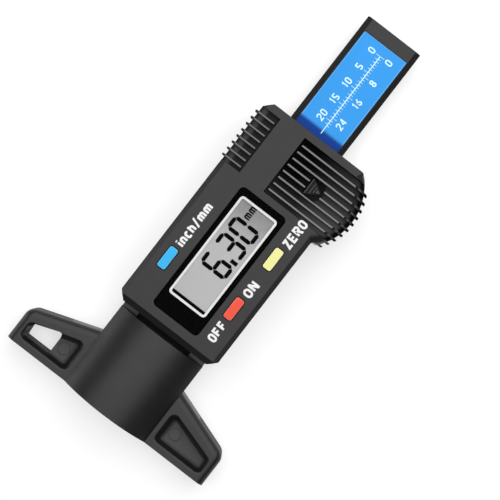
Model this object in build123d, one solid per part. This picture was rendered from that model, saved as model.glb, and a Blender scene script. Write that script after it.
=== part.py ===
"""Digital tyre tread depth gauge, built as separate pieces.

Frame, in millimetres: X runs across the gauge, Y runs along the beam from the foot's
measuring face (y = 0) to the beam's free end, and Z points out of the display. The
flat back lies in z = 0, so the gauge rests on its back.
"""

from build123d import *

import os

# ---------------------------------------------------------------- driving dimensions

# Overall stack, measured from the back
face_z = 15.0
split_z = 5.0
seam_depth = 0.25
seam_height = 0.3
wall = 1.7
front_wall_z = 13.1
back_chamfer = 0.8
running_gap = 0.1

# Housing outline
housing_half = 14.6
housing_low = 24.8
housing_high = 84.1
corner_cut = 2.1
side_bevel = 1.2
low_bevel = 1.5
high_bevel = 2.0
bevel_drop = 1.1
high_drop = 0.75
bulge_x = 4.75
bulge_y = 73.1
bulge_radius = 14.8
bulge_low = 63.75
bulge_round = 3.2
bulge_corner = 1.0
bulge_shoulder = 2.5

# Finger grips
grip_low = 66.0
grip_high = 82.0
grip_depth = 0.9
left_grip_x = -9.2
lid_x = -1.8
rib_count = 8
rib_first = 67.2
rib_pitch = 1.86
rib_width = 0.5
rib_ease = 0.08
rib_inset = 0.45
rib_proud = 0.1
rib_side = 0.75
rib_slope = 1.0
rib_foot_z = 12.0
lid_rib_foot_z = 9.6
lower_ribs = (65.6, 64.05)
lower_rib_z = (9.0, 11.0)
rib_root = 1.6
grip_fall = 1.3
grip_over = 0.2
lid_ease = 0.4
rib_ease_out = 0.6
rail_reach = 6.0
rail_lift = 0.02
light_room_x = -4.0
light_room_low = 67.5
light_room_high = 79.0

# Cross recess and edge of every screw's head, as parts of the head
head_bevel = 0.3
cross_arm = 0.65
cross_slot = 0.13
cross_depth = 0.55

# Small clearances and overlaps
snug = 0.05
overlap = 0.1
near_enough = 0.01

# Beam, its scale and its probe
beam_half = 8.0
beam_low = 31.0
beam_high = 116.3
beam_z = 2.8
beam_thick = 3.4
travel = 25.4
scale_half = 6.5
scale_low = 38.0
scale_high = 112.8
scale_recess = 0.8
scale_thick = 0.35
label_thick = 0.15
rim_drop = 0.75
beam_end_bevel = 0.3
beam_corner = 0.2
probe_radius = 1.2
probe_tip = 0.3
probe_grip = 6.0
stop_radius = 0.8
stop_x = -6.0
stop_y = 62.0
stop_low_z = 1.8
probe_round = 0.4
scale_rim = 0.1
gib_places = (45.0, 57.0, 69.0)
gib_sheet = 0.2
gib_back = 0.6
gib_press = 0.08
gib_z = 3.0
gib_wide = 1.9
gib_room = (44.0, 70.0)
gib_room_deep = 0.9
gib_room_z = 2.9

# Foot
foot_half = 30.0
wing_z = 8.0
wing_end_y = 9.0
wing_root_y = 15.0
wing_corner = 2.75
wing_round = 2.0
neck_half = 12.4
neck_side_z = 7.9
neck_crown_z = 13.2
neck_high = 23.25
neck_step_z = 8.0
hood_half = 8.4
hood_side_z = 7.2
hood_crown_z = 12.0
hood_floor_z = 6.9
hood_low = 17.5
tongue_half = 12.3
tongue_low_z = 1.6
tongue_high = 34.0
guide_length = 5.0
step_low_z = 0.4
pocket_floor_corner = 0.5
lanyard_corner = 0.3
pocket_floor_z = 4.8
pocket_corner = 1.4
pocket_mouth = ((13.6, 1.8), (27.6, 1.8), (27.6, 6.1), (13.6, 10.3))
pocket_floor = ((15.5, 3.2), (26.7, 3.2), (26.7, 4.95), (15.5, 8.45))
lanyard_window = (
    (-26.9, 2.65),
    (-19.6, 2.65),
    (-19.6, 8.65),
    (-20.3, 8.75),
    (-26.3, 6.55),
    (-27.1, 5.2),
)
pocket_lip = 0.6
ejector_mark = (17.3, 5.7)
ejector_radius = 1.45
ejector_rise = 0.35

# Display window
window_half = 6.75
window_low = 28.55
window_high = 64.05
window_corner = 1.2
ledge_z = 13.7
mask_thick = 0.15
lens_z = 13.9
lens_top = 14.9
view_half = 4.85
view_low = 34.5
view_high = 61.65
glass_half = 5.8
glass_low = 31.5
glass_high = 62.8
glass_z = 12.1
glass_thick = 1.5
frame_half = 7.6
frame_low = 30.9
frame_high = 64.3
frame_top_z = 12.9
zebra_width = 1.2
zebra_inset = 0.2
frame_corner = 0.6
pane_step = 1.5
lens_bevel = 0.15

# Circuit board
board_half = 12.7
board_low = 30.7
board_high = 64.9
board_z = 6.5
board_thick = 0.8
board_screw_x = 11.2
board_screw_y = (32.6, 62.9)
board_post_radius = 1.5
board_pilot_radius = 0.5
board_pilot_deep = 3.0
board_corner = 0.8
board_hole_radius = 0.6
board_head_radius = 1.1
board_head_thick = 0.7
board_screw_radius = 0.5
board_screw_reach = 2.8
chip_y = 47.0
chip_radius = 4.0
chip_sunk = 2.5
crystal_radius = 1.0
crystal_ends = (54.0, 59.5)
resistor_rows = (36.0, 38.2, 40.4)
resistor_x = (1.0, 2.6)
resistor_wide = 0.8
resistor_high = 0.5
capacitor_rows = (55.0, 58.0)
capacitor_x = (-10.9, -8.9)
capacitor_wide = 1.3
capacitor_high = 1.1

# Buttons: centre of each cap
button_places = {"unit": (-10.3, 39.4), "power": (9.65, 39.4), "zero": (9.85, 54.5)}
button_half = 1.15
button_half_length = 2.9
button_corner = 0.55
button_proud = 0.3
button_gap = 0.2
flange_lip = 0.5
flange_thick = 0.9
stem_radius = 0.8
dome_radius = 2.0
dome_height = 0.6
dome_sheet = 0.12
button_round = 0.2
stem_gap = 0.02

# Battery bay
cell_x = 9.4
cell_y = 74.1
cell_radius = 5.8
cell_height = 5.4
cell_round = 0.4
cell_cap_step = 1.0
cell_cap_high = 0.6
strip_half = 1.2
dish_radius = 4.0
bump_radius = 1.6
strip_slot_half = 1.3
strip_slot_high_z = 8.0
leaf_slot = (2.7, 3.7)
leaf_slot_high = 77.5
leaf_slot_high_z = 12.8
leaf_gap = 0.65
leaf_high = 77.2
leaf_high_z = 12.4
leaf_notch_high = 66.5
leaf_notch_z = 8.2
leaf_foot = 1.2
leaf_bump_reach = 0.64
leaf_bump = (73.3, 74.9)
leaf_bump_z = (9.5, 11.5)
cell_z = 7.75
bay_radius = 6.0
bay_floor_z = 7.3
contact_sheet = 0.2
pad_y = 64.4
lid_low_z = 7.6
lid_wall = 1.2
lid_plate = 0.85
rail_depth = 0.55
rail_thick = 0.45

# Arrow on the battery cover: how far each ridge lies from the first, and its half length
arrow_x = 5.8
arrow_y = 73.65
arrow_length = 3.4
arrow_half = 2.1
arrow_swell = (1.9, 1.25)
arrow_ridges = ((0.0, 2.1), (1.0, 1.45), (1.75, 0.8), (2.3, 0.45))
arrow_tip = (2.6, 0.4)
arrow_clear = 0.5
ridge_width = 0.28
ridge_rise = 0.5
pad_rise = 0.15

# Screws
screw_head_radius = 1.4
screw_head_z = 0.15
screw_head_thick = 0.7
screw_radius = 0.75
screw_top_z = 10.5
case_screw_places = ((-10.4, 28.1), (10.4, 28.1), (-12.0, 81.0), (12.6, 81.2))
post_radius = 1.9

# ---------------------------------------------------------------- derived dimensions

beam_top_z = beam_z + beam_thick
channel_half = beam_half + 0.15
channel_low_z = beam_z - running_gap
channel_top_z = beam_top_z + 0.15
probe_z = beam_z + beam_thick / 2
board_top_z = board_z + board_thick
cavity_half = housing_half - wall
cavity_low = housing_low + wall
cavity_high = board_high + 0.4
grip_z = face_z - grip_depth
rib_top_z = face_z + rib_proud
lid_under_z = grip_z - lid_plate
rib_places = [rib_first + i * rib_pitch for i in range(rib_count)]
far = 60.0


# ---------------------------------------------------------------- small helpers


def block(x0, x1, y0, y1, z0, z1):
    """A box between two corners."""
    centre = Pos((x0 + x1) / 2, (y0 + y1) / 2, (z0 + z1) / 2)
    return centre * Box(x1 - x0, y1 - y0, z1 - z0)


def disc(x, y, radius, z0, z1):
    """An upright cylinder between two heights."""
    upright = (Align.CENTER, Align.CENTER, Align.MIN)
    return Pos(x, y, z0) * Cylinder(radius, z1 - z0, align=upright)


def rod(x, z, radius, y0, y1):
    """A cylinder that runs along the beam."""
    circle = Plane(origin=(x, y0, z), x_dir=(1, 0, 0), z_dir=(0, 1, 0)) * Circle(radius)
    return extrude(circle, amount=y1 - y0)


def prism_z(points, z0, z1):
    """An outline in XY raised from z0 to z1."""
    face = make_face(Polyline([(x, y, z0) for x, y in points], close=True))
    return extrude(face, amount=z1 - z0, dir=(0, 0, 1))


def prism_y(points, y0, y1):
    """An outline in XZ carried from y0 to y1."""
    face = make_face(Polyline([(x, y0, z) for x, z in points], close=True))
    return extrude(face, amount=y1 - y0, dir=(0, 1, 0))


def prism_x(points, x0, x1):
    """An outline in YZ carried from x0 to x1."""
    face = make_face(Polyline([(x0, y, z) for y, z in points], close=True))
    return extrude(face, amount=x1 - x0, dir=(1, 0, 0))


def rounded_block(half, y0, y1, z0, z1, radius, x=0.0):
    """A slab with rounded upright corners."""
    sketch = Pos(x, (y0 + y1) / 2, z0) * RectangleRounded(2 * half, y1 - y0, radius)
    return extrude(sketch, amount=z1 - z0, dir=(0, 0, 1))


def crowned_disc(radius, z0, z1, rounding):
    """The battery bulge: a disc whose upper rim is rounded."""
    body = disc(bulge_x, bulge_y, radius, z0, z1)
    return fillet(body.edges().group_by(Axis.Z)[-1], rounding)


def rib_bar(x0, x1, y, z0):
    """A thin bar across the gauge with rounded ends and an eased crest."""
    sketch = Pos((x0 + x1) / 2, y, z0) * SlotOverall(x1 - x0, rib_width)
    bar = extrude(sketch, amount=rib_top_z - z0, dir=(0, 0, 1))
    return chamfer(bar.edges().group_by(Axis.Z)[-1], rib_ease)


def write(name, shape):
    """Stores one sub-part."""
    export_step(shape, f"parts/{name}.step")


# ---------------------------------------------------------------- housing


def housing_outline():
    """The outline shared by both shells, with the battery bulge on the right."""
    half, low, high, cut = housing_half, housing_low, housing_high, corner_cut
    points = [
        (-half + cut, low),
        (half - cut, low),
        (half, low + cut),
        (half, high),
        (-half + cut, high),
        (-half, high - cut),
        (-half, low + cut),
    ]
    plate = make_face(Polyline(points, close=True))
    middle = (bulge_low + high) / 2
    band = Pos(0, middle) * Rectangle(2 * far, high - bulge_low)
    bulge = (Pos(bulge_x, bulge_y) * Circle(bulge_radius)) & band
    outline = plate + bulge
    inner_corner = outline.vertices().sort_by_distance((half, bulge_low, 0))[0]
    outline = fillet(inner_corner, bulge_corner)
    shoulder = outline.vertices().sort_by_distance((half, high, 0))[0]
    return fillet(shoulder, bulge_shoulder)


def cover_form():
    """The front cover's outer shape: bevelled edges and a rounded bulge."""
    prism = extrude(Pos(0, 0, split_z) * housing_outline(), amount=face_z - split_z)
    side_z = face_z - bevel_drop
    across = [
        (-housing_half, split_z),
        (housing_half, split_z),
        (housing_half, side_z),
        (housing_half - side_bevel, face_z),
        (-housing_half + side_bevel, face_z),
        (-housing_half, side_z),
    ]
    along = [
        (housing_low, split_z),
        (housing_high, split_z),
        (housing_high, face_z - high_drop),
        (housing_high - high_bevel, face_z),
        (housing_low + low_bevel, face_z),
        (housing_low, side_z),
    ]
    corner = block(housing_half, 17, bulge_low - 2, bulge_low, split_z, 12)
    top = prism_y(across, 0, 100)
    top += crowned_disc(bulge_radius, split_z, face_z, bulge_round)
    top += corner
    return (prism & top) & prism_x(along, -far, far)


def lid_space(gap):
    """The room that the sliding battery cover takes, grown by a gap."""
    room = block(lid_x - gap, far, grip_low - gap, grip_high + gap, lid_low_z - gap, far)
    core = crowned_disc(
        bulge_radius - lid_wall - gap, -1, lid_under_z - gap, bulge_round - lid_wall
    )
    rails = block(
        lid_x - gap,
        far,
        grip_low - rail_depth - gap,
        grip_high + rail_depth + gap,
        lid_under_z - gap,
        lid_under_z + rail_thick + gap,
    )
    return (room - core) + rails


def left_grip_cut():
    """The sunk floor of the left finger grip, with a bevel at its outer side."""
    edge_x = -housing_half + side_bevel
    points = [
        (left_grip_x, far),
        (left_grip_x, grip_z),
        (edge_x, grip_z),
        (-housing_half - grip_over, grip_z - grip_fall),
        (-far, grip_z - grip_fall),
        (-far, far),
    ]
    return prism_y(points, grip_low, grip_high)


def left_ribs():
    """Ribs that cross the left grip and turn down over the housing's side."""
    out_x = -housing_half - rib_side
    over = 1.0
    points = [
        (0, rib_top_z + over),
        (out_x + rib_slope + over, rib_top_z + over),
        (out_x - over, rib_top_z - rib_slope - over),
        (out_x - over, rib_foot_z),
        (-housing_half + overlap, rib_foot_z),
        (-housing_half + overlap, grip_z - rib_root),
        (0, grip_z - rib_root),
    ]
    form = prism_y(points, grip_low, grip_high)
    return [rib_bar(out_x, left_grip_x - rib_inset, y, rib_foot_z) & form for y in rib_places]


def lower_bulge_ribs():
    """Two short ribs on the bulge's side, below the sliding cover."""
    z0, z1 = lower_rib_z
    half = rib_width / 2
    ring = disc(bulge_x, bulge_y, bulge_radius + rib_side, z0, z1)
    ring -= disc(bulge_x, bulge_y, bulge_radius - overlap, z0 - 1, z1 + 1)
    return [ring & block(housing_half, far, y - half, y + half, z0, z1) for y in lower_ribs]


def front_cover():
    """The front shell: display wall, button openings, posts and battery bay."""
    shell = cover_form()
    shell -= left_grip_cut()
    shell -= lid_space(running_gap)
    shell += left_ribs()
    shell += lower_bulge_ribs()

    shell -= block(-cavity_half, cavity_half, cavity_low, cavity_high, split_z, front_wall_z)
    shell -= block(
        -cavity_half, light_room_x, light_room_low, light_room_high, channel_top_z + 1, front_wall_z
    )
    shell -= block(-channel_half, channel_half, 0, 100, split_z, channel_top_z)

    # posts for the case screws and the board screws
    for x, y in case_screw_places[:2]:
        shell += disc(x, y, post_radius, split_z, front_wall_z)
    for x, y in case_screw_places:
        shell -= disc(x, y, screw_radius, split_z, screw_top_z)
    for y in board_screw_y:
        for x in (-board_screw_x, board_screw_x):
            shell += disc(x, y, board_post_radius, board_top_z, front_wall_z)
            shell -= disc(x, y, board_pilot_radius, board_top_z, board_top_z + board_pilot_deep)

    # window: a sunk seat for the lens, and an opening for the display glass
    shell -= rounded_block(
        window_half, window_low, window_high, ledge_z, face_z + 1, window_corner
    )
    shell -= block(
        -glass_half - running_gap,
        glass_half + running_gap,
        glass_low - running_gap,
        glass_high + running_gap,
        front_wall_z - overlap,
        ledge_z,
    )
    for x, y in button_places.values():
        shell -= rounded_block(
            button_half + button_gap,
            y - button_half_length - button_gap,
            y + button_half_length + button_gap,
            front_wall_z - overlap,
            face_z + 1,
            button_corner + button_gap,
            x,
        )

    # battery bay, with slots that lead the contacts to the board
    shell -= disc(cell_x, cell_y, bay_radius, bay_floor_z, far)
    shell -= block(
        cell_x - strip_slot_half,
        cell_x + strip_slot_half,
        cavity_high - 1,
        cell_y,
        bay_floor_z,
        strip_slot_high_z,
    )
    slot_x0, slot_x1 = leaf_slot
    shell -= block(
        slot_x0, slot_x1, cavity_high - 1, leaf_slot_high, bay_floor_z, leaf_slot_high_z
    )
    return shell


def rear_shell():
    """The back shell: a channel for the beam and a seat for the foot's tongue."""
    outline = housing_outline()
    base = extrude(outline, amount=split_z - seam_height)
    base = chamfer(base.edges().group_by(Axis.Z)[0], back_chamfer)
    inset = offset(outline, amount=-seam_depth)
    lip = extrude(Pos(0, 0, split_z - seam_height) * inset, amount=seam_height)
    shell = base + lip
    shell -= block(-channel_half, channel_half, 0, 100, channel_low_z, split_z + 1)
    seat = tongue_half + running_gap
    seat_z = tongue_low_z - running_gap
    shell -= block(-seat, seat, 0, tongue_high + running_gap, seat_z, split_z + 1)

    # slot that the beam's stop pin runs in
    gap = stop_radius + running_gap
    slot_low = stop_y - travel - gap
    shell -= block(
        stop_x - gap, stop_x + gap, slot_low, stop_y + gap, stop_low_z - running_gap, split_z
    )
    # room for the gib spring beside the beam
    room_low, room_high = gib_room
    shell -= block(
        channel_half - overlap,
        channel_half + gib_room_deep,
        room_low,
        room_high,
        gib_room_z,
        split_z + 1,
    )

    head_top = screw_head_z + screw_head_thick
    for x, y in case_screw_places:
        shell -= disc(x, y, screw_head_radius + running_gap, -1, head_top)
        shell -= disc(x, y, screw_radius + running_gap, 0, split_z + 1)
    return shell


def cross_screw(x, y, z0, head_radius, head_thick, shaft_radius, z1):
    """A pan-head screw that points up, with a cross recess in its head."""
    head = disc(x, y, head_radius, z0, z0 + head_thick)
    head = chamfer(head.edges().group_by(Axis.Z)[0], head_thick * head_bevel)
    screw = head + disc(x, y, shaft_radius, z0 + head_thick, z1)
    arm, slot, depth = head_radius * cross_arm, head_radius * cross_slot, head_thick * cross_depth
    screw -= block(x - arm, x + arm, y - slot, y + slot, z0 - 1, z0 + depth)
    screw -= block(x - slot, x + slot, y - arm, y + arm, z0 - 1, z0 + depth)
    return screw


def housing_screws():
    """Four screws from the back; the lower pair also clamps the foot's tongue."""
    return [
        cross_screw(
            x, y, screw_head_z, screw_head_radius, screw_head_thick, screw_radius, screw_top_z
        )
        for x, y in case_screw_places
    ]


# ---------------------------------------------------------------- display and board


def window_mask():
    """The black printed frame under the lens."""
    top = ledge_z + mask_thick
    mask = rounded_block(
        window_half - snug, window_low + snug, window_high - snug, ledge_z, top, window_corner
    )
    return mask - block(-view_half, view_half, view_low, view_high, ledge_z - 1, top + 1)


def window_lens():
    """The clear window, just below the face."""
    lens = rounded_block(
        window_half - snug, window_low + snug, window_high - snug, lens_z, lens_top, window_corner
    )
    return chamfer(lens.edges().group_by(Axis.Z)[-1], lens_bevel)


def lcd_panel():
    """The display glass: a wide lower pane and a shorter upper pane."""
    middle = glass_z + glass_thick / 2
    lower = block(-glass_half, glass_half, glass_low, glass_high, glass_z, middle)
    top = glass_z + glass_thick
    upper = block(-glass_half, glass_half, glass_low + pane_step, glass_high, middle, top)
    return lower + upper


def lcd_frame():
    """The plastic frame that holds the glass and the connector strips on the board."""
    frame = rounded_block(
        frame_half, frame_low, frame_high, board_top_z, frame_top_z, frame_corner
    )
    inside = block(
        -glass_half - snug, glass_half + snug, glass_low - snug, glass_high + snug, 0, far
    )
    return frame - inside


def zebra_strips():
    """Two rubber connector strips between the board and the glass."""
    outer = glass_half - zebra_inset
    strips = []
    for side in (-1, 1):
        x0, x1 = sorted((side * outer, side * (outer - zebra_width)))
        strips.append(block(x0, x1, view_low - 1, view_high, board_top_z, glass_z))
    return strips


def main_board():
    """The circuit board above the beam."""
    board = block(-board_half, board_half, board_low, board_high, board_z, board_top_z)
    board = chamfer(board.edges().filter_by(Axis.Z), board_corner)
    for y in board_screw_y:
        for x in (-board_screw_x, board_screw_x):
            board -= disc(x, y, board_hole_radius, board_z - 1, board_top_z + 1)
    return board


def board_screws():
    """Screws that hold the board up against the cover's posts."""
    head_z = board_z - board_head_thick
    tip_z = board_top_z + board_screw_reach
    return [
        cross_screw(
            x, y, head_z, board_head_radius, board_head_thick, board_screw_radius, tip_z
        )
        for y in board_screw_y
        for x in (-board_screw_x, board_screw_x)
    ]


def controller_chip():
    """The resin drop over the measuring chip."""
    drop = Pos(0, chip_y, board_top_z) * Sphere(chip_radius)
    drop = drop & block(-far, far, 0, far, board_top_z + chip_sunk, far)
    return Pos(0, 0, -chip_sunk) * drop


def board_components():
    """The crystal, capacitors and resistors on the board's front."""
    crystal_low, crystal_high = crystal_ends
    parts = [rod(0, board_top_z + crystal_radius, crystal_radius, crystal_low, crystal_high)]
    near, out = resistor_x
    top = board_top_z + resistor_high
    for y in resistor_rows:
        parts.append(block(-out, -near, y, y + resistor_wide, board_top_z, top))
        parts.append(block(near, out, y, y + resistor_wide, board_top_z, top))
    left, right = capacitor_x
    top = board_top_z + capacitor_high
    for y in capacitor_rows:
        parts.append(block(left, right, y, y + capacitor_wide, board_top_z, top))
    return parts


# ---------------------------------------------------------------- buttons


def button(x, y):
    """A button cap with its stop flange and the stem that presses the dome."""
    flange_top = front_wall_z - snug
    cap = rounded_block(
        button_half,
        y - button_half_length,
        y + button_half_length,
        flange_top,
        face_z + button_proud,
        button_corner,
        x,
    )
    cap = fillet(cap.edges().group_by(Axis.Z)[-1], button_round)
    flange = rounded_block(
        button_half + flange_lip,
        y - button_half_length - flange_lip,
        y + button_half_length + flange_lip,
        flange_top - flange_thick,
        flange_top,
        button_corner,
        x,
    )
    stem_low = board_top_z + dome_height + stem_gap
    return cap + flange + disc(x, y, stem_radius, stem_low, flange_top - flange_thick)


def dome(x, y):
    """A thin sprung metal dome on the board, under its button."""
    sphere = (dome_radius**2 + dome_height**2) / (2 * dome_height)
    centre = Pos(x, y, board_top_z + dome_height - sphere)
    shell = centre * Sphere(sphere) - centre * Sphere(sphere - dome_sheet)
    return shell & block(x - 5, x + 5, y - 5, y + 5, board_top_z, far)


# ---------------------------------------------------------------- battery


def battery_cover():
    """The ribbed cover that slides off sideways, with its arrow."""
    outer = crowned_disc(bulge_radius, lid_low_z, grip_z, bulge_round - lid_ease)
    lid = outer & block(lid_x, far, grip_low, grip_high, lid_low_z, far)
    lid -= crowned_disc(bulge_radius - lid_wall, -1, lid_under_z, bulge_round - lid_wall)
    rail_x = bulge_x + rail_reach
    lid += block(
        lid_x,
        rail_x,
        grip_low - rail_depth,
        grip_high + rail_depth,
        lid_under_z + rail_lift,
        lid_under_z + rail_thick,
    )
    rib_form = crowned_disc(
        bulge_radius + rib_side, lid_rib_foot_z, rib_top_z, bulge_round + rib_ease_out
    )
    hollow = crowned_disc(
        bulge_radius - lid_wall / 2, -1, lid_under_z + lid_plate / 2, bulge_round - lid_wall
    )
    ribs = rib_form - hollow
    room_half = arrow_half + arrow_clear
    arrow_room = block(
        arrow_x - arrow_clear,
        arrow_x + arrow_length + arrow_clear,
        arrow_y - room_half,
        arrow_y + room_half,
        grip_z,
        far,
    )
    for y in rib_places:
        lid += (ribs & rib_bar(lid_x + rib_inset, far, y, lid_low_z)) - arrow_room
    return lid + arrow_mark()


def arrow_mark():
    """A low arrowhead with fine ridges that points the way the cover slides."""
    low = grip_z - overlap
    tip = (arrow_x + arrow_length, arrow_y)
    left, right = (arrow_x, arrow_y + arrow_half), (arrow_x, arrow_y - arrow_half)
    swell_x = arrow_x + arrow_swell[0]
    outline = Line(right, left)
    outline += ThreePointArc(left, (swell_x, arrow_y + arrow_swell[1]), tip)
    outline += ThreePointArc(tip, (swell_x, arrow_y - arrow_swell[1]), right)
    mark = extrude(Pos(0, 0, low) * make_face(outline), amount=pad_rise + overlap)
    top = grip_z + ridge_rise
    for offset_x, half in arrow_ridges:
        x = arrow_x + offset_x
        mark += block(x, x + ridge_width, arrow_y - half, arrow_y + half, low, top)
    start_x, half = arrow_x + arrow_tip[0], arrow_tip[1]
    point = ((start_x, arrow_y - half), tip, (start_x, arrow_y + half))
    return mark + prism_z(point, low, top)


def coin_cell():
    """The button cell, with a narrower cap at its lower, negative end."""
    cap_top = cell_z + cell_cap_high
    body = disc(cell_x, cell_y, cell_radius, cap_top, cell_z + cell_height)
    body = fillet(body.edges().group_by(Axis.Z)[-1], cell_round)
    return body + disc(cell_x, cell_y, cell_radius - cell_cap_step, cell_z, cap_top)


def negative_contact():
    """A strip from the board to a sprung dish under the cell."""
    sheet_top = bay_floor_z + contact_sheet
    strip = block(
        cell_x - strip_half, cell_x + strip_half, pad_y, cell_y, bay_floor_z, sheet_top
    )
    dish = disc(cell_x, cell_y, dish_radius, bay_floor_z, sheet_top)
    bump = disc(cell_x, cell_y, bump_radius, sheet_top, cell_z - near_enough)
    return strip + dish + bump


def positive_contact():
    """A leaf that stands beside the cell and is soldered to the board."""
    leaf_x = cell_x - cell_radius - leaf_gap
    face_x = leaf_x + contact_sheet
    leaf = block(leaf_x, face_x, pad_y, leaf_high, bay_floor_z, leaf_high_z)
    leaf -= block(leaf_x - 1, leaf_x + 1, 0, leaf_notch_high, leaf_notch_z, far)
    foot = block(
        leaf_x - leaf_foot, leaf_x, pad_y, board_high, bay_floor_z, bay_floor_z + contact_sheet
    )
    (low, high), (low_z, high_z) = leaf_bump, leaf_bump_z
    bump = block(face_x, leaf_x + leaf_bump_reach, low, high, low_z, high_z)
    return leaf + foot + bump


# ---------------------------------------------------------------- beam


def beam():
    """The sliding beam, with a long recess for the scale."""
    rim_x = scale_half + scale_rim
    shoulder_z = beam_top_z - rim_drop
    across = [
        (-beam_half, beam_z),
        (beam_half, beam_z),
        (beam_half, shoulder_z),
        (rim_x, beam_top_z),
        (-rim_x, beam_top_z),
        (-beam_half, shoulder_z),
    ]
    along = [
        (beam_low, beam_z),
        (beam_high, beam_z),
        (beam_high, beam_top_z - beam_end_bevel),
        (beam_high - beam_end_bevel, beam_top_z),
        (beam_low, beam_top_z),
    ]
    bar = prism_y(across, beam_low, beam_high)
    bar = fillet(bar.edges().filter_by(Axis.Z), beam_corner)
    bar &= prism_x(along, -far, far)
    bar -= block(
        -scale_half, scale_half, scale_low, scale_high, beam_top_z - scale_recess, far
    )
    bar -= rod(0, probe_z, probe_radius, beam_low - 1, beam_low + probe_grip)
    return bar - disc(stop_x, stop_y, stop_radius, 0, beam_top_z - scale_recess)


def scale_layer(z0, thick):
    """A strip that fits the beam's recess."""
    half = scale_half - snug
    return block(-half, half, scale_low + snug, scale_high - snug, z0, z0 + thick)


def probe_pin():
    """The steel probe, held in the beam's end and domed at its tip."""
    pin = rod(0, probe_z, probe_radius, probe_tip, beam_low + probe_grip)
    return fillet(pin.edges().group_by(Axis.Y)[0], probe_round)


def gib_spring():
    """A bowed leaf that takes up the beam's side play."""
    low, middle, high = gib_places
    near, back = channel_half - gib_press, channel_half + gib_back
    outer = ThreePointArc((back, low), (near, middle), (back, high))
    inner = Pos(gib_sheet, 0) * ThreePointArc((back, high), (near, middle), (back, low))
    ends = Line((back, high), (back + gib_sheet, high))
    ends += Line((back + gib_sheet, low), (back, low))
    face = make_face(outer + inner + ends)
    return extrude(Pos(0, 0, gib_z) * face, amount=gib_wide)


# ---------------------------------------------------------------- foot


def mirrored(points):
    """The same outline on the left wing."""
    return [(-x, y) for x, y in points][::-1]


def wing_pocket(mouth, floor):
    """A sunk pocket with drafted walls and rounded corners."""
    lower = fillet(make_face(Polyline(floor, close=True)).vertices(), pocket_floor_corner)
    top = wing_z + 0.5
    rise = (top - pocket_floor_z) / (wing_z - pocket_floor_z)
    grown = [
        (fx + (mx - fx) * rise, fy + (my - fy) * rise)
        for (mx, my), (fx, fy) in zip(mouth, floor)
    ]
    upper = fillet(make_face(Polyline(grown, close=True)).vertices(), pocket_corner)
    return loft([Pos(0, 0, pocket_floor_z) * lower, Pos(0, 0, top) * upper], ruled=True)


def arch(half, low, crown, foot_z, y0, y1):
    """A bar along the gauge with upright sides and a bowed front."""
    bow = ThreePointArc((half, low), (0, crown), (-half, low))
    sides = Polyline((-half, low), (-half, foot_z), (half, foot_z), (half, low))
    face = Plane.XZ * make_face(bow + sides)
    return Pos(0, y0, 0) * extrude(face, amount=-(y1 - y0))


def foot_base():
    """The T-shaped foot: wings, neck, and the tongue that the housing clamps."""
    outline = [
        (-foot_half, 0),
        (foot_half, 0),
        (foot_half, wing_end_y),
        (neck_half, wing_root_y),
        (-neck_half, wing_root_y),
        (-foot_half, wing_end_y),
    ]
    wings = make_face(Polyline(outline, close=True))
    ends = [v for v in wings.vertices() if abs(v.Y - wing_end_y) < near_enough]
    wings = extrude(fillet(ends, wing_corner), amount=wing_z)
    rims = [
        edge
        for edge in wings.edges().group_by(Axis.Z)[-1]
        if edge.center().Y > 1.0 and abs(edge.center().X) > neck_half
    ]
    foot = fillet(rims, wing_round)
    foot += arch(neck_half, neck_side_z, neck_crown_z, 0, 0, neck_high)
    step = block(
        -tongue_half, tongue_half, neck_high - 1, housing_low - running_gap, step_low_z, neck_step_z
    )
    tongue = block(
        -tongue_half,
        tongue_half,
        neck_high - 1,
        tongue_high,
        tongue_low_z,
        split_z - snug,
    )
    foot += step + tongue
    foot -= arch(hood_half, hood_side_z, hood_crown_z, hood_floor_z, hood_low, far)

    # room for the beam, then a narrow guide for the probe
    foot -= block(
        -channel_half, channel_half, guide_length, far, channel_low_z, channel_top_z
    )
    foot -= rod(0, probe_z, probe_radius + snug, -1, guide_length + 1)
    for x, y in case_screw_places[:2]:
        foot -= disc(x, y, screw_radius + running_gap, 0, split_z)

    # sunk pockets in both wings; the left one opens right through
    foot -= wing_pocket(pocket_mouth, pocket_floor)
    foot -= wing_pocket(mirrored(pocket_mouth), mirrored(pocket_floor))
    near, reach = neck_half + 0.5, pocket_mouth[1][0] + 0.5
    lips = [
        edge
        for edge in foot.edges()
        if abs(edge.center().Z - wing_z) < near_enough
        and near < abs(edge.center().X) < reach
        and 1.5 < edge.center().Y < pocket_mouth[3][1]
        and edge.bounding_box().max.Y < pocket_mouth[3][1] + 0.2
    ]
    foot = fillet(lips, pocket_lip)
    mark_x, mark_y = ejector_mark
    for x in (-mark_x, mark_x):
        foot += disc(x, mark_y, ejector_radius, pocket_floor_z - 1, pocket_floor_z + ejector_rise)
    window = prism_z(lanyard_window, -1, wing_z + 1)
    return foot - fillet(window.edges().filter_by(Axis.Z), lanyard_corner)


# ---------------------------------------------------------------- write every sub-part


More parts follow.
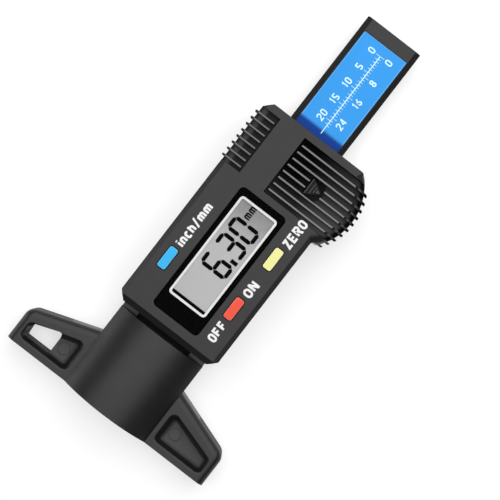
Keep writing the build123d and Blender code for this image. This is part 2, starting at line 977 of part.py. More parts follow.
def main():
    os.makedirs("parts", exist_ok=True)
    write("front_cover", front_cover())
    write("rear_shell", rear_shell())
    write("housing_screws", Compound(housing_screws()))
    write("window_mask", window_mask())
    write("window_lens", window_lens())
    write("lcd_panel", lcd_panel())
    write("lcd_frame", lcd_frame())
    write("zebra_strips", Compound(zebra_strips()))
    write("main_board", main_board())
    write("board_screws", Compound(board_screws()))
    write("controller_chip", controller_chip())
    write("board_components", Compound(board_components()))
    for name, (x, y) in button_places.items():
        write(f"button_{name}", button(x, y))
        write(f"dome_{name}", dome(x, y))
    write("battery_cover", battery_cover())
    write("coin_cell", coin_cell())
    write("negative_contact", negative_contact())
    write("positive_contact", positive_contact())
    write("beam", beam())
    recess_z = beam_top_z - scale_recess
    write("scale_strip", scale_layer(recess_z, scale_thick))
    write("beam_label", scale_layer(recess_z + scale_thick, label_thick))
    write("probe_pin", probe_pin())
    stop_top = beam_top_z - scale_recess
    write("beam_stop_pin", disc(stop_x, stop_y, stop_radius, stop_low_z, stop_top))
    write("gib_spring", gib_spring())
    write("foot_base", foot_base())


main()
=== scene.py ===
"""Looks for the tread depth gauge: materials, printed marks, lights and camera."""

import math

import bmesh
import bpy
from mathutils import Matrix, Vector


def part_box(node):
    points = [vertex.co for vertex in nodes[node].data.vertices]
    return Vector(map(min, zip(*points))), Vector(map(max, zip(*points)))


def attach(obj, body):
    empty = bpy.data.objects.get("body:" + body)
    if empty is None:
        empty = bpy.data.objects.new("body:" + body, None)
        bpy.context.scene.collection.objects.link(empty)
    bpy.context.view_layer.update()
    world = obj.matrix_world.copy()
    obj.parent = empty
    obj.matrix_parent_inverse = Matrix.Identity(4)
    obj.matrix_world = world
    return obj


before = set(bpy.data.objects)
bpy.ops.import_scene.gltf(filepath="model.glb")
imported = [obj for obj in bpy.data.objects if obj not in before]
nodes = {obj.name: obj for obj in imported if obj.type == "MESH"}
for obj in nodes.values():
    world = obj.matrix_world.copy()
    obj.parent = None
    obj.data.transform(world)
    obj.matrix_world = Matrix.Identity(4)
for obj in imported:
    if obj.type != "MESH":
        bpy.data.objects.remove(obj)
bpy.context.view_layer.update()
MM = 0.001


# ---------------------------------------------------------------- places from the frame

mask_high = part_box("window_mask")[1]
lcd_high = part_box("lcd_panel")[1]
label_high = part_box("beam_label")[1]
foot_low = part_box("foot_base")[0]
button_box = {name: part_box("button_" + name) for name in ("unit", "power", "zero")}
face_z = 15.0 * MM
cap_z = 15.3 * MM
grip_low = 65.9 * MM
grip_high = 82.1 * MM
left_grip_x = -9.0 * MM


# ---------------------------------------------------------------- tones


def grey(level):
    return (level, level, level)


def scaled(tone, factor):
    """A tone made darker or paler, kept below white."""
    return tuple(min(1.0, c * factor) for c in tone)


dark = grey(0.005)
black = grey(0.0008)
blue = (0.027, 0.40, 0.75)
red = (0.75, 0.076, 0.038)
yellow = (0.75, 0.74, 0.29)


# ---------------------------------------------------------------- node helpers


class Graph:
    """A short way to write a node tree."""

    def __init__(self, name):
        self.material = bpy.data.materials.new(name)
        self.material.use_nodes = True
        self.tree = self.material.node_tree
        self.tree.nodes.clear()
        self.output = self.add("ShaderNodeOutputMaterial")
        self.shader = self.add("ShaderNodeBsdfPrincipled")
        self.link(self.shader.outputs["BSDF"], self.output.inputs["Surface"])
        self.place = self.add("ShaderNodeTexCoord").outputs["Object"]

    def add(self, kind, **settings):
        node = self.tree.nodes.new(kind)
        for key, value in settings.items():
            setattr(node, key, value)
        return node

    def link(self, source, target):
        self.tree.links.new(source, target)

    def feed(self, target, value):
        if isinstance(value, bpy.types.NodeSocket):
            self.link(value, target)
        else:
            target.default_value = value

    def math(self, operation, a, b=0.0, c=0.0, clamp=False):
        node = self.add("ShaderNodeMath", operation=operation, use_clamp=clamp)
        for socket, value in zip(node.inputs, (a, b, c)):
            self.feed(socket, value)
        return node.outputs[0]

    def step(self, value, low, high):
        """0 below low and 1 above high, smooth between; falls if high is below low."""
        node = self.add("ShaderNodeMapRange", interpolation_type="SMOOTHSTEP")
        rising = high >= low
        self.feed(node.inputs["Value"], value)
        node.inputs["From Min"].default_value = min(low, high)
        node.inputs["From Max"].default_value = max(low, high)
        node.inputs["To Min"].default_value = 0.0 if rising else 1.0
        node.inputs["To Max"].default_value = 1.0 if rising else 0.0
        return node.outputs["Result"]

    def ramp(self, value, places):
        """0 at the first of two places and 1 at the second, both in millimetres."""
        start, end = places
        return self.step(value, start * MM, end * MM)

    def both(self, *masks):
        result = masks[0]
        for mask in masks[1:]:
            result = self.math("MULTIPLY", result, mask)
        return result

    def axes(self):
        node = self.add("ShaderNodeSeparateXYZ")
        self.link(self.place, node.inputs[0])
        return node.outputs

    def noise(self, scale, detail=3.0, roughness=0.55, stretch=None):
        """Noise between 0 and 1; scale is in features per metre."""
        node = self.add("ShaderNodeTexNoise")
        node.inputs["Scale"].default_value = scale
        node.inputs["Detail"].default_value = detail
        node.inputs["Roughness"].default_value = roughness
        source = self.place
        if stretch:
            mapping = self.add("ShaderNodeMapping")
            mapping.inputs["Scale"].default_value = stretch
            self.link(source, mapping.inputs["Vector"])
            source = mapping.outputs[0]
        self.link(source, node.inputs["Vector"])
        return node.outputs["Fac"]

    def mix(self, factor, a, b):
        node = self.add("ShaderNodeMix", data_type="RGBA")
        self.feed(node.inputs["Factor"], factor)
        self.feed(node.inputs["A"], colour(a) if isinstance(a, tuple) else a)
        self.feed(node.inputs["B"], colour(b) if isinstance(b, tuple) else b)
        return node.outputs["Result"]

    def edges(self, radius):
        """1 on sharp edges and 0 on flats, with the rounded normal beside it."""
        bevel = self.add("ShaderNodeBevel", samples=6)
        bevel.inputs["Radius"].default_value = radius
        flat = self.add("ShaderNodeNewGeometry").outputs["Normal"]
        dot = self.add("ShaderNodeVectorMath", operation="DOT_PRODUCT")
        self.link(bevel.outputs[0], dot.inputs[0])
        self.link(flat, dot.inputs[1])
        return self.step(dot.outputs["Value"], 0.995, 0.86), bevel.outputs[0]

    def shade(self, distance):
        """1 in the open and 0 deep in a corner."""
        node = self.add("ShaderNodeAmbientOcclusion", samples=8)
        node.inputs["Distance"].default_value = distance
        return node.outputs["AO"]

    def bump(self, height, strength, distance, normal=None):
        node = self.add("ShaderNodeBump")
        node.inputs["Strength"].default_value = strength
        node.inputs["Distance"].default_value = distance
        self.link(height, node.inputs["Height"])
        if normal is not None:
            self.link(normal, node.inputs["Normal"])
        self.link(node.outputs[0], self.shader.inputs["Normal"])

    def set(self, **values):
        """Sets even values straight on the shader's own sockets."""
        for key, value in values.items():
            self.shader.inputs[key.replace("_", " ")].default_value = value


def colour(rgb):
    return (*rgb, 1.0) if len(rgb) == 3 else rgb


# ---------------------------------------------------------------- materials


def moulded_plastic(name, tone, rough=0.40, grain=0.08, gloss=0.355, sunk=None, crest_highlight=None, seed=1.0):
    """Dark textured plastic: fine grain, uneven gloss, paler edges that are partly wear
    and partly a painted highlight, and painted shade in corners.

    sunk gives the tone and the mask of a matt floor, whose tone is painted light and shade,
    and the crest mask marks a painted highlight on crests.
    """
    wear_and_highlight_reach, wear_and_highlight_factor = 0.16 * MM, 5.0
    shade_reach, shade_factor = 1.6 * MM, 0.2
    matt, crest_highlight_tone, grain_depth = 0.45, grey(0.18), 0.05 * MM

    g = Graph(name)
    cloud = g.noise(45.0 * seed, detail=4.0)
    edge, rounded = g.edges(wear_and_highlight_reach)
    base = g.mix(cloud, scaled(tone, 0.85), scaled(tone, 1.15))
    # paler edges: partly real wear, partly a painted highlight along them
    pale_share = g.math("MULTIPLY_ADD", g.noise(900.0, detail=2.0), 0.5, 0.45)
    base = g.mix(g.both(edge, pale_share), base, scaled(tone, wear_and_highlight_factor))
    # painted shade: the tone is darkened in corners and creases
    open_air = g.step(g.shade(shade_reach), 0.25, 0.85)
    base = g.mix(open_air, scaled(tone, shade_factor), base)
    dull = g.math("MULTIPLY_ADD", g.noise(260.0), 0.10, rough - 0.05)
    # the floor tones from sunk are painted light and shade, and the floors are also matt
    if sunk:
        floor_light_and_shade, floor_mask = sunk(g)
        base = g.mix(floor_mask, base, floor_light_and_shade)
        dull = g.math("MULTIPLY_ADD", floor_mask, matt, dull)
    # painted highlight on the crests of the ribs
    if crest_highlight:
        base = g.mix(crest_highlight(g), base, crest_highlight_tone)
    g.link(base, g.shader.inputs["Base Color"])
    g.link(dull, g.shader.inputs["Roughness"])
    g.set(Specular_IOR_Level=gloss)
    g.bump(g.noise(5200.0 * seed, detail=2.0), grain, grain_depth, rounded)
    return g.material


def within_grip(g, y):
    """1 between the ends of the finger grips."""
    soft = 0.2 * MM
    return g.both(g.step(y, grip_low, grip_low + soft), g.step(y, grip_high, grip_high - soft))


def left_grip(g, x):
    """1 to the left of the left grip's inner end."""
    soft = 0.1 * MM
    return g.step(x, left_grip_x + soft, left_grip_x - soft)


def grip_floor(g):
    """Tone and mask of the left grip's matt floor, painted near black as shade with a paler patch of
    painted highlight, and of a line of painted shade under the bevels.
    """
    floor_top, floor_foot = (14.75, 14.3), (12.6, 13.0)
    lit_patch_left, lit_patch_right = (-14.2, -13.7), (-12.2, -13.1)
    shade_line_top, shade_line_foot = (14.14, 14.02), (13.6, 13.75)

    x, y, z = g.axes()
    grip = within_grip(g, y)
    depth = g.both(g.ramp(z, floor_top), g.ramp(z, floor_foot))
    lit_patch = g.both(g.ramp(x, lit_patch_left), g.ramp(x, lit_patch_right))
    line = g.both(g.ramp(z, shade_line_top), g.ramp(z, shade_line_foot))
    line = g.both(line, g.math("SUBTRACT", 1.0, grip))
    # painted shade: a near-black floor and a black line under the bevels, with a paler patch of painted
    # highlight
    tone = g.mix(line, g.mix(lit_patch, grey(0.003), grey(0.04)), black)
    return tone, g.math("MAXIMUM", g.both(grip, depth, left_grip(g, x)), line)


def foot_floors(g):
    """Tone and mask of the foot's pocket floors, made paler with painted light, and of the gap behind
    its neck, painted black as shade.
    """
    pocket_y, pocket_z = (12.6, 12.2), (6.4, 5.2)
    gap_y, gap_z = (22.9, 23.1), (7.8, 7.4)

    y, z = g.axes()[1:]
    pocket = g.both(g.ramp(y, pocket_y), g.ramp(z, pocket_z))
    gap = g.both(g.ramp(y, gap_y), g.ramp(z, gap_z))
    # painted light makes the pocket floors paler, and painted shade makes the gap black
    return g.mix(gap, grey(0.055), black), g.math("MAXIMUM", pocket, gap)


def lid_floor(g):
    """Tone and mask of the cover's matt floor, with painted light and shade that make it palest towards
    +X and low Y.
    """
    light_x, light_y, light_z = (2.0, 15.0), (79.0, 68.0), (13.3, 14.0)
    near_y, near_share = (74.0, 67.0), 0.25
    pad_z, ridge_z, groove_z = (14.16, 14.22), (14.4, 14.55), (14.95, 14.8)

    x, y, z = g.axes()
    # painted light and shade: the floor runs from black to paler towards +X and low Y
    along = g.math("MULTIPLY_ADD", g.ramp(y, light_y), 0.6, 0.4)
    rise = g.math("MULTIPLY", along, g.ramp(x, light_x))
    near = g.math("MULTIPLY", g.ramp(y, near_y), near_share)
    light_gradient = g.both(g.math("MAXIMUM", rise, near), g.ramp(z, light_z))
    tone = g.mix(light_gradient, black, grey(0.055))

    # painted shade darkens the hollow round the arrow, and its pad and ridges are paler
    arrow_x, arrow_y, reach_x, reach_y = 7.4 * MM, 73.65 * MM, 2.6 * MM, 2.9 * MM
    u = g.math("DIVIDE", g.math("SUBTRACT", x, arrow_x), reach_x)
    v = g.math("DIVIDE", g.math("SUBTRACT", y, arrow_y), reach_y)
    apart = g.math("ADD", g.math("MULTIPLY", u, u), g.math("MULTIPLY", v, v))
    hollow_shade = g.math("MULTIPLY", g.step(apart, 1.25, 0.85), 0.75)
    tone = g.mix(hollow_shade, tone, black)
    tone = g.mix(g.ramp(z, pad_z), tone, grey(0.019))
    tone = g.mix(g.ramp(z, ridge_z), tone, grey(0.065))
    return tone, g.both(within_grip(g, y), g.ramp(z, groove_z))


def rib_crest_highlight(g):
    """Mask of a painted highlight on the crests of the ribs, which is weaker on the left grip."""
    crest_z, left_share = (15.03, 15.08), 0.55

    x, y, z = g.axes()
    right = g.step(x, left_grip_x, left_grip_x + 0.2 * MM)
    pale_share = g.math("MULTIPLY_ADD", right, 1.0 - left_share, left_share)
    return g.both(within_grip(g, y), g.ramp(z, crest_z), pale_share)


def clear_window():
    """Clear acrylic: seen through, with a thin surface gloss."""
    g = Graph("clear_window")
    g.set(Base_Color=(0.002, 0.002, 0.003, 1.0), Alpha=0.05, Specular_IOR_Level=0.12)
    g.link(g.math("MULTIPLY_ADD", g.noise(700.0, detail=5.0), 0.06, 0.14), g.shader.inputs["Roughness"])
    return g.material


def gloss_print(name, tone, rough=0.35, gloss=0.15):
    """Ink, resin or a small moulding: an even tone with a faint mottle."""
    g = Graph(name)
    g.link(g.mix(g.noise(600.0), scaled(tone, 0.9), scaled(tone, 1.08)), g.shader.inputs["Base Color"])
    g.link(g.math("MULTIPLY_ADD", g.noise(900.0), 0.1, rough), g.shader.inputs["Roughness"])
    g.set(Specular_IOR_Level=gloss)
    g.bump(g.noise(4000.0), 0.03, 0.02 * MM)
    return g.material


def display_glass():
    """Grey display with a faint mottle, and painted shade that darkens it towards its far end."""
    shade_y = (50.0, 63.0)
    g = Graph("display_glass")
    along = g.ramp(g.axes()[1], shade_y)
    # painted shade towards the far end of the display
    base = g.mix(along, grey(0.49), grey(0.22))
    base = g.mix(g.math("MULTIPLY", g.noise(500.0), 0.25), base, (0.54, 0.55, 0.54))
    g.link(base, g.shader.inputs["Base Color"])
    g.link(g.math("MULTIPLY_ADD", g.noise(800.0), 0.1, 0.45), g.shader.inputs["Roughness"])
    g.set(Specular_IOR_Level=0.1)
    g.bump(g.noise(6000.0), 0.05, 0.02 * MM)
    return g.material


def button_plastic(name, tone, rim_highlight):
    """A coloured cap with a painted highlight on its rounded rim and painted shade low on its sides."""
    g = Graph(name)
    facing = g.add("ShaderNodeSeparateXYZ")
    g.link(g.add("ShaderNodeNewGeometry").outputs["Normal"], facing.inputs[0])
    turned = g.step(facing.outputs[2], 0.985, 0.80)
    depth = g.step(g.axes()[2], cap_z - 0.5 * MM, cap_z - 1.2 * MM)
    base = g.mix(g.noise(300.0), scaled(tone, 0.93), scaled(tone, 1.03))
    # painted highlight on the rounded rim
    base = g.mix(g.math("MULTIPLY", turned, 0.7), base, rim_highlight)
    # painted shade low on the sides of the cap
    base = g.mix(depth, base, scaled(tone, 0.04))
    g.link(base, g.shader.inputs["Base Color"])
    g.link(g.math("MULTIPLY_ADD", g.noise(900.0), 0.1, 0.40), g.shader.inputs["Roughness"])
    g.set(Specular_IOR_Level=0.2)
    g.bump(g.noise(4500.0), 0.08, 0.04 * MM)
    return g.material


def metal(name, tone, rough=0.3, brush=None):
    """Bare metal with a fine, sometimes drawn, grain."""
    g = Graph(name)
    grain = g.noise(1500.0, detail=4.0, stretch=brush)
    g.link(g.mix(grain, scaled(tone, 0.8), tone), g.shader.inputs["Base Color"])
    g.link(g.math("MULTIPLY_ADD", grain, 0.2, rough - 0.1), g.shader.inputs["Roughness"])
    g.set(Metallic=1.0)
    g.bump(grain, 0.06, 0.03 * MM, g.edges(0.08 * MM)[1])
    return g.material


def label_film():
    """Blue printed film with a pale border, and a painted shadow of the housing where it runs in under
    it.
    """
    shadow_band_y, border_in, border_out = (87.7, 86.5), 0.32 * MM, 0.18 * MM
    g = Graph("label_film")
    x, y = g.axes()[:2]
    shadow_band = g.ramp(y, shadow_band_y)
    side = g.step(g.math("ABSOLUTE", x), label_high.x - border_in, label_high.x - border_out)
    end = g.step(y, label_high.y - border_in, label_high.y - border_out)
    base = g.mix(g.noise(90.0), (0.030, 0.28, 0.70), (0.038, 0.30, 0.76))
    base = g.mix(g.math("MAXIMUM", side, end), base, (0.12, 0.42, 0.86))
    # painted shadow of the housing across the near end of the film
    base = g.mix(shadow_band, base, (0.001, 0.040, 0.26))
    g.link(base, g.shader.inputs["Base Color"])
    g.link(g.math("MULTIPLY_ADD", g.noise(700.0), 0.1, 0.40), g.shader.inputs["Roughness"])
    g.set(Specular_IOR_Level=0.1)
    g.bump(g.noise(3000.0), 0.04, 0.03 * MM)
    return g.material


def paint(node, material):
    """Puts one material in every slot of a CAD node."""
    slots = nodes[node].data.materials
    if len(slots) == 0:
        slots.append(material)
    for index in range(len(slots)):
        slots[index] = material


def paint_frame():
    """Paints every CAD node."""
    paint("front_cover", moulded_plastic("cover_plastic", dark, sunk=grip_floor, crest_highlight=rib_crest_highlight))
    paint(
        "battery_cover",
        moulded_plastic(
            "lid_plastic", dark, rough=0.5, gloss=0.06, sunk=lid_floor, crest_highlight=rib_crest_highlight, seed=1.1
        ),
    )
    paint("rear_shell", moulded_plastic("rear_plastic", dark, seed=0.9))
    paint(
        "foot_base",
        moulded_plastic("foot_plastic", dark, grain=0.06, gloss=0.40, sunk=foot_floors, seed=1.2),
    )
    paint("beam", moulded_plastic("beam_plastic", dark, seed=0.8))
    paint("window_lens", clear_window())
    paint("window_mask", gloss_print("window_print", (0.0007, 0.0007, 0.0008), rough=0.6, gloss=0.0))
    paint("lcd_panel", display_glass())
    paint("lcd_frame", gloss_print("frame_plastic", (0.6, 0.6, 0.58), rough=0.5))
    paint("zebra_strips", gloss_print("zebra_rubber", (0.3, 0.3, 0.29), rough=0.7))
    paint("main_board", gloss_print("board_laminate", (0.01, 0.11, 0.04), gloss=0.3))
    paint("controller_chip", gloss_print("chip_resin", (0.01, 0.01, 0.011), gloss=0.3))
    paint("board_components", gloss_print("component_mix", (0.3, 0.2, 0.12), gloss=0.3))
    paint("button_unit", button_plastic("blue_plastic", blue, (0.25, 0.62, 0.90)))
    paint("button_power", button_plastic("red_plastic", red, (0.90, 0.33, 0.27)))
    paint("button_zero", button_plastic("yellow_plastic", yellow, (0.90, 0.90, 0.58)))
    steel = metal("dome_steel", (0.62, 0.62, 0.6))
    for name in ("unit", "power", "zero"):
        paint("dome_" + name, steel)
    paint("coin_cell", metal("cell_steel", (0.7, 0.7, 0.7), 0.25))
    brass = metal("contact_brass", (0.75, 0.62, 0.36))
    paint("negative_contact", brass)
    paint("positive_contact", brass)
    paint("gib_spring", metal("spring_bronze", (0.6, 0.36, 0.2)))
    paint("scale_strip", gloss_print("scale_laminate", (0.3, 0.2, 0.08)))
    paint("beam_label", label_film())
    paint("probe_pin", metal("probe_steel", (0.72, 0.72, 0.72), 0.25, brush=(8, 1, 8)))
    black_steel = metal("screw_steel", (0.08, 0.08, 0.085), 0.4)
    for node in ("housing_screws", "board_screws", "beam_stop_pin"):
        paint(node, black_steel)


# ---------------------------------------------------------------- printed marks


def new_piece(name, bm, material, body):
    """Makes a printed mark that rides on a body."""
    mesh = bpy.data.meshes.new(name)
    bmesh.ops.recalc_face_normals(bm, faces=bm.faces)
    bm.to_mesh(mesh)
    bm.free()
    piece = bpy.data.objects.new(name, mesh)
    bpy.context.scene.collection.objects.link(piece)
    piece.data.materials.append(material)
    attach(piece, body)
    return piece


def raise_outline(bm, points, z, thick):
    """Adds a closed prism over an outline in XY, in metres."""
    low = [bm.verts.new((x, y, z)) for x, y in points]
    high = [bm.verts.new((x, y, z + thick)) for x, y in points]
    bm.faces.new(low[::-1])
    bm.faces.new(high)
    count = len(points)
    for i in range(count):
        j = (i + 1) % count
        bm.faces.new((low[i], low[j], high[j], high[i]))


def rounded_outline(half_x, y0, y1, radius, turns=6):
    """A rectangle about x = 0 with rounded corners."""
    corners = (
        (half_x - radius, y1 - radius, 0),
        (-half_x + radius, y1 - radius, 90),
        (-half_x + radius, y0 + radius, 180),
        (half_x - radius, y0 + radius, 270),
    )
    points = []
    for cx, cy, start in corners:
        for i in range(turns + 1):
            angle = math.radians(start + 90 * i / turns)
            points.append((cx + radius * math.cos(angle), cy + radius * math.sin(angle)))
    return points


def window_line(material):
    """The white line printed round the display."""
    width = 0.6 * MM
    half, y0, y1 = 5.45 * MM, 33.1 * MM, 62.25 * MM
    outer = rounded_outline(half, y0, y1, 0.9 * MM)
    inner = rounded_outline(half - width, y0 + width, y1 - width, 0.35 * MM)
    z, thick = mask_high.z + 0.005 * MM, 0.03 * MM
    bm = bmesh.new()
    rings = []
    for points in (outer, inner):
        for height in (z, z + thick):
            rings.append([bm.verts.new((px, py, height)) for px, py in points])
    outer_low, outer_high, inner_low, inner_high = rings
    count = len(outer)
    for i in range(count):
        j = (i + 1) % count
        bm.faces.new((outer_high[i], outer_high[j], inner_high[j], inner_high[i]))
        bm.faces.new((outer_low[j], outer_low[i], inner_low[i], inner_low[j]))
        bm.faces.new((outer_low[i], outer_low[j], outer_high[j], outer_high[i]))
        bm.faces.new((inner_low[j], inner_low[i], inner_high[i], inner_high[j]))
    return new_piece("window_line", bm, material, "housing")


SEGMENTS = {"6": "acdefg", "3": "abcdg", "0": "abcdef"}


def segment_places(width, height):
    """Ends of the seven bars of a digit whose lower left corner is at 0, 0."""
    middle = height / 2
    return {
        "a": ((0, height), (width, height)),
        "b": ((width, middle), (width, height)),
        "c": ((width, 0), (width, middle)),
        "d": ((0, 0), (width, 0)),
        "e": ((0, 0), (0, middle)),
        "f": ((0, middle), (0, height)),
        "g": ((0, middle), (width, middle)),
    }


def bar_outline(start, end, thick, gap):
    """A six-sided bar with pointed ends."""
    start, end = Vector(start), Vector(end)
    run = (end - start).normalized()
    side = Vector((-run.y, run.x)) * thick / 2
    a, b = start + run * gap, end - run * gap
    tip = run * thick / 2
    return [a, a + tip + side, b - tip + side, b, b - tip - side, a + tip - side]


def display_digits(material):
    """The reading, which runs along the beam with its top towards -X."""
    thick, gap = 1.0 * MM, 0.06 * MM
    z, height = lcd_high.z + 0.004 * MM, 0.02 * MM
    base_x, tall, wide = 3.42 * MM, 6.8 * MM, 3.05 * MM
    bm = bmesh.new()

    def placed(points, y0):
        return [(base_x - p.y, y0 + p.x) for p in points]

    for digit, y0 in (("6", 43.65 * MM), ("3", 49.2 * MM), ("0", 54.05 * MM)):
        places = segment_places(wide, tall)
        for key in SEGMENTS[digit]:
            outline = bar_outline(*places[key], thick, gap)
            raise_outline(bm, placed(outline, y0), z, height)
    x0, x1, y0, y1 = 2.0 * MM, 3.9 * MM, 47.6 * MM, 48.6 * MM
    raise_outline(bm, [(x0, y0), (x1, y0), (x1, y1), (x0, y1)], z, height)
    return new_piece("display_digits", bm, material, "housing")


def bow(cx, cy, rx, ry, start, end, turns=8):
    """Points along an elliptical arc, in degrees."""
    points = []
    for i in range(turns + 1):
        angle = math.radians(start + (end - start) * i / turns)
        points.append((cx + rx * math.cos(angle), cy + ry * math.sin(angle)))
    return points


def glyph(char, w, h):
    """Pen strokes of a letter that is w wide and h tall, and its slanting slabs."""
    r = w / 2
    low = 0.74 * h
    waist = 0.50 * h
    loop = bow(r, h - r, r, r, 0, 180) + bow(r, r, r, r, 180, 360)
    arch = bow(r, low - r, r, r, 180, 0) + [(w, 0)]
    q = w / 4
    strokes = {
        "O": [loop + [loop[0]]],
        "0": [loop + [loop[0]]],
        "N": [[(0, 0), (0, h)], [(w, 0), (w, h)]],
        "F": [[(w, h), (0, h), (0, 0)], [(0, waist), (0.85 * w, waist)]],
        "E": [[(w, h), (0, h), (0, 0), (w, 0)], [(0, waist), (0.85 * w, waist)]],
        "Z": [[(0, h), (w, h)], [(0, 0), (w, 0)]],
        "R": [[(0, 0), (0, h)] + bow(w - q, 0.75 * h, q, 0.25 * h, 90, -90) + [(0, waist)]],
        "i": [[(0, 0), (0, low)], [(0, 0.92 * h), (0, 1.08 * h)]],
        "n": [[(0, 0), (0, low)], arch],
        "h": [[(0, 0), (0, h)], arch],
        "c": [bow(r, low - r, r, r, 30, 180) + bow(r, r, r, r, 180, 330)],
        "m": [
            [(0, 0), (0, low)],
            bow(q, low - q, q, q, 180, 0) + [(r, 0)],
            bow(r + q, low - q, q, q, 180, 0) + [(w, 0)],
        ],
        "/": [],
        "1": [[(0.1 * w, 0.78 * h), (0.6 * w, h), (0.6 * w, 0)]],
        "2": [bow(r, h - r, r, r, 170, -20) + [(0, 0), (w, 0)]],
        "3": [
            bow(r, 0.75 * h, r, 0.25 * h, 160, -90) + bow(r, 0.25 * h, r, 0.25 * h, 90, -160)
        ],
        "4": [[(0.75 * w, 0), (0.75 * w, h)], [(0, 0.3 * h), (w, 0.3 * h)]],
        "5": [[(w, h), (0, h), (0, 0.58 * h)] + bow(r, r, r, r, 110, -150)],
        "6": [[(0.85 * w, h), (0.05 * w, 0.5 * h)] + bow(r, r, r, r, 170, 530)],
        "8": [
            bow(r, 0.76 * h, 0.9 * r, 0.24 * h, -90, 270),
            bow(r, 0.26 * h, r, 0.26 * h, 90, 450),
        ],
    }
    # each slab: x at its foot, x at its head, the height of its foot, and its width in pens
    slabs = {
        "N": [(w, 0, 0, 1.15)],
        "Z": [(0, w, 0, 1.15)],
        "/": [(0, w, 0, 0.9)],
        "R": [(w, 0.55 * w, 0, 1.15)],
        "4": [(0, 0.75 * w, 0.3 * h, 0.9)],
    }
    return strokes[char], slabs.get(char, [])


# a letter's width next to that of an O, between the middles of its outer strokes
WIDTHS = {"i": 0.0, "m": 1.7, "/": 0.9, "1": 0.7, "c": 0.9}
TINY = 1e-9
MITRE_LIMIT = 0.5


def pen_stroke(bm, points, pen, place, z, thick):
    """A ribbon of even width along a line of points, with mitred corners."""
    line = [Vector(p) for p in points]
    closed = (line[0] - line[-1]).length < TINY
    if closed:
        line = line[:-1]
    count = len(line)
    sides = []
    for i, here in enumerate(line):
        before = line[(i - 1) % count] if closed or i > 0 else None
        after = line[(i + 1) % count] if closed or i < count - 1 else None
        runs = []
        if before is not None and (here - before).length > TINY:
            runs.append((here - before).normalized())
        if after is not None and (after - here).length > TINY:
            runs.append((after - here).normalized())
        run = (runs[0] + runs[-1]).normalized()
        side = Vector((-run.y, run.x))
        reach = pen / 2 / max(MITRE_LIMIT, abs(side.dot(Vector((-runs[0].y, runs[0].x)))))
        sides.append((here + side * reach, here - side * reach))
    rings = []
    for left, right in sides:
        corners = []
        for height in (z, z + thick):
            for point in (left, right):
                corners.append(bm.verts.new((*place(point), height)))
        rings.append(corners)
    pairs = [(i, i + 1) for i in range(count - 1)] + ([(count - 1, 0)] if closed else [])
    for i, j in pairs:
        a, b = rings[i], rings[j]
        for k, m in ((0, 1), (1, 3), (3, 2), (2, 0)):
            bm.faces.new((a[k], a[m], b[m], b[k]))
    if not closed:
        for a in (rings[0], rings[-1]):
            bm.faces.new((a[0], a[1], a[3], a[2]))


def lettering(bm, text, x, y, z, tall, wide, pen, gap):
    """Plain print that reads along +Y with its top towards -X, from x, y at its foot.

    tall and wide are its outer size, pen the stroke and gap the space between letters.
    """
    thick, lift = 0.015 * MM, 0.002 * MM
    shares = [WIDTHS.get(char, 1.0) for char in text]
    room = wide - len(text) * pen - (len(text) - 1) * gap
    unit = room / sum(shares)
    height = tall - pen
    start = pen / 2
    for char, share in zip(text, shares):
        width = share * unit

        def place(point, start=start):
            return x - pen / 2 - point[1], y + start + point[0]

        # every stroke lies a little higher than the last, so that none share a surface
        strokes, slabs = glyph(char, width, height)
        level = thick
        for points in strokes:
            pen_stroke(bm, points, pen, place, z, level)
            level += lift
        for foot_x, head_x, foot_y, broad in slabs:
            half = pen * broad / 2
            head_y = height / 2 if char == "R" else height + pen / 2
            low_y = foot_y - pen / 2 if foot_y == 0 else foot_y
            foot_x = min(max(foot_x, half - pen / 2), width + pen / 2 - half)
            head_x = min(max(head_x, half - pen / 2), width + pen / 2 - half)
            corners = [
                (foot_x - half, low_y),
                (foot_x + half, low_y),
                (head_x + half, head_y),
                (head_x - half, head_y),
            ]
            raise_outline(bm, [place(p) for p in corners], z, level)
            level += lift
        start += width + pen + gap


def cover_legends(material):
    """The words beside the buttons, placed from the buttons' own boxes."""
    pen, gap = 0.56 * MM, 0.28 * MM
    unit, power, zero = (button_box[name] for name in ("unit", "power", "zero"))
    # piece, text, foot, start, and the height and length in millimetres
    words = (
        ("legend_unit", "inch/mm", unit[1].x - 0.15 * MM, unit[1].y + 0.72 * MM, 2.54, 12.13),
        ("legend_off", "OFF", power[1].x - 0.25 * MM, power[0].y - 6.0 * MM, 2.44, 5.38),
        ("legend_on", "ON", power[1].x + 0.05 * MM, power[1].y + 0.72 * MM, 2.54, 4.01),
        ("legend_zero", "ZERO", zero[1].x + 0.14 * MM, zero[1].y + 0.68 * MM, 2.54, 7.63),
    )
    for name, text, x, y, tall, wide in words:
        bm = bmesh.new()
        lettering(bm, text, x, y, face_z, tall * MM, wide * MM, pen, gap)
        new_piece(name, bm, material, "housing")


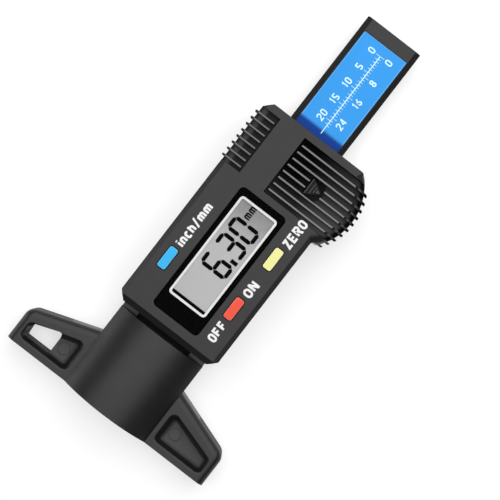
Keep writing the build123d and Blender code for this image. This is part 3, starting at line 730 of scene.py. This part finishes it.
def scale_print(material):
    """A plain rule: millimetres on one side and thirty-seconds of an inch on the other."""
    inch = 25.4
    z, thick = label_high.z, 0.012 * MM
    zero_y, last_y, line_end = 110.0, 88.2, 86.2
    line_x, line_half, tick_half, long_tick, short_tick = 0.35, 0.11, 0.055, 1.1, 0.605
    tall, pen, gap = 2.0 * MM, 0.32 * MM, 0.26 * MM
    bm = bmesh.new()

    def bar(x0, x1, y0, y1):
        points = [(x0, y0), (x1, y0), (x1, y1), (x0, y1)]
        raise_outline(bm, [(px * MM, py * MM) for px, py in points], z, thick)

    bar(line_x - line_half, line_x + line_half, line_end, zero_y)
    for side, pitch, group in ((-1, 1.0, 5), (1, inch / 32, 8)):
        step = 0
        while zero_y - step * pitch > last_y:
            y = zero_y - step * pitch
            tick = long_tick if step % group == 0 else short_tick
            ends = sorted((line_x + side * line_half, line_x + side * (line_half + tick)))
            bar(*ends, y - tick_half, y + tick_half)
            step += 1

    # foot and pitch of each column of numerals, then each numeral and its length
    columns = (
        (-1.25, 5.0, (("0", 1.2), ("5", 1.2), ("10", 2.3), ("15", 2.3), ("20", 2.7))),
        (4.0, inch / 4, (("0", 1.2), ("8", 1.2), ("16", 2.3), ("24", 2.7))),
    )
    for x, pitch, numerals in columns:
        for step, (text, wide) in enumerate(numerals):
            start = zero_y - step * pitch - wide / 2
            lettering(bm, text, x * MM, start * MM, z, tall, wide * MM, pen, gap)
    new_piece("scale_lines", bm, material, "beam_group")


def display_unit(material):
    """The unit mark in the corner of the display."""
    x, y, z = -0.2 * MM, 58.2 * MM, lcd_high.z + 0.004 * MM
    tall, wide, pen, gap = 2.3 * MM, 3.4 * MM, 0.42 * MM, 0.22 * MM
    bm = bmesh.new()
    lettering(bm, "mm", x, y, z, tall, wide, pen, gap)
    new_piece("display_unit", bm, material, "housing")


def print_marks():
    ink = gloss_print("black_segments", grey(0.0015), rough=0.6, gloss=0.0)
    window_line(gloss_print("frame_white", grey(0.82), rough=0.5))
    display_digits(ink)
    cover_legends(gloss_print("white_print", grey(0.74), rough=0.5))
    scale_print(gloss_print("pale_print", (0.62, 0.86, 0.96), rough=0.5))
    display_unit(ink)


# ---------------------------------------------------------------- stage, light, camera


def stage_floor():
    """A wide pale floor that glows a little, so that shadows on it stay faint."""
    half, glow = 1.5, 0.58
    bm = bmesh.new()
    bmesh.ops.create_grid(bm, x_segments=1, y_segments=1, size=half)
    mesh = bpy.data.meshes.new("floor")
    bm.to_mesh(mesh)
    bm.free()
    floor = bpy.data.objects.new("floor", mesh)
    bpy.context.scene.collection.objects.link(floor)
    floor.location.z = foot_low.z
    g = Graph("pale_floor")
    g.link(g.mix(g.noise(8.0), grey(0.40), grey(0.43)), g.shader.inputs["Base Color"])
    g.set(Roughness=0.9, Specular_IOR_Level=0.0, Emission_Strength=glow)
    g.set(Emission_Color=(1.0, 1.0, 1.0, 1.0))
    floor.data.materials.append(g.material)


def softbox(name, direction, distance, width, length, power, target):
    """A rectangular light that faces the target."""
    data = bpy.data.lights.new(name, "AREA")
    data.shape = "RECTANGLE"
    data.size = width
    data.size_y = length
    data.energy = power
    lamp = bpy.data.objects.new(name, data)
    bpy.context.scene.collection.objects.link(lamp)
    way = Vector(direction).normalized()
    lamp.location = target + way * distance
    lamp.rotation_mode = "QUATERNION"
    lamp.rotation_quaternion = way.to_track_quat("Z", "Y")


def lights():
    """A large soft key above, a low strip on the left, and a dim even surround."""
    target = Vector((0, 0.055, 0.01))
    distance, surround = 0.6, 0.12
    above, left = (-0.04, 0.42, 1.0), (-1.0, -0.48, 0.17)
    softbox("key", above, distance, width=1.00, length=1.20, power=8.7, target=target)
    softbox("side", left, distance, width=0.45, length=0.18, power=0.9, target=target)
    world = bpy.data.worlds.new("studio")
    world.use_nodes = True
    background = world.node_tree.nodes["Background"]
    background.inputs["Color"].default_value = (1, 1, 1, 1)
    background.inputs["Strength"].default_value = surround
    bpy.context.scene.world = world


def camera():
    """Straight above the display, rolled so that the beam points to the upper right."""
    beam_angle = math.radians(52.3)
    above_x, above_y = 4.1 * MM, 52.9 * MM
    plane_z, distance, span = 8.0 * MM, 320.0 * MM, 121.95 * MM
    data = bpy.data.cameras.new("camera")
    data.sensor_width = 36.0
    data.lens = data.sensor_width * distance / span
    data.clip_start, data.clip_end = 0.01, 10.0
    view = bpy.data.objects.new("camera", data)
    bpy.context.scene.collection.objects.link(view)
    view.location = (above_x, above_y, plane_z + distance)
    view.rotation_euler = (0, 0, math.pi / 2 - beam_angle)
    bpy.context.scene.camera = view


# ---------------------------------------------------------------- build

paint_frame()
print_marks()
stage_floor()
lights()
camera()
bpy.context.scene.view_settings.view_transform = "Standard"
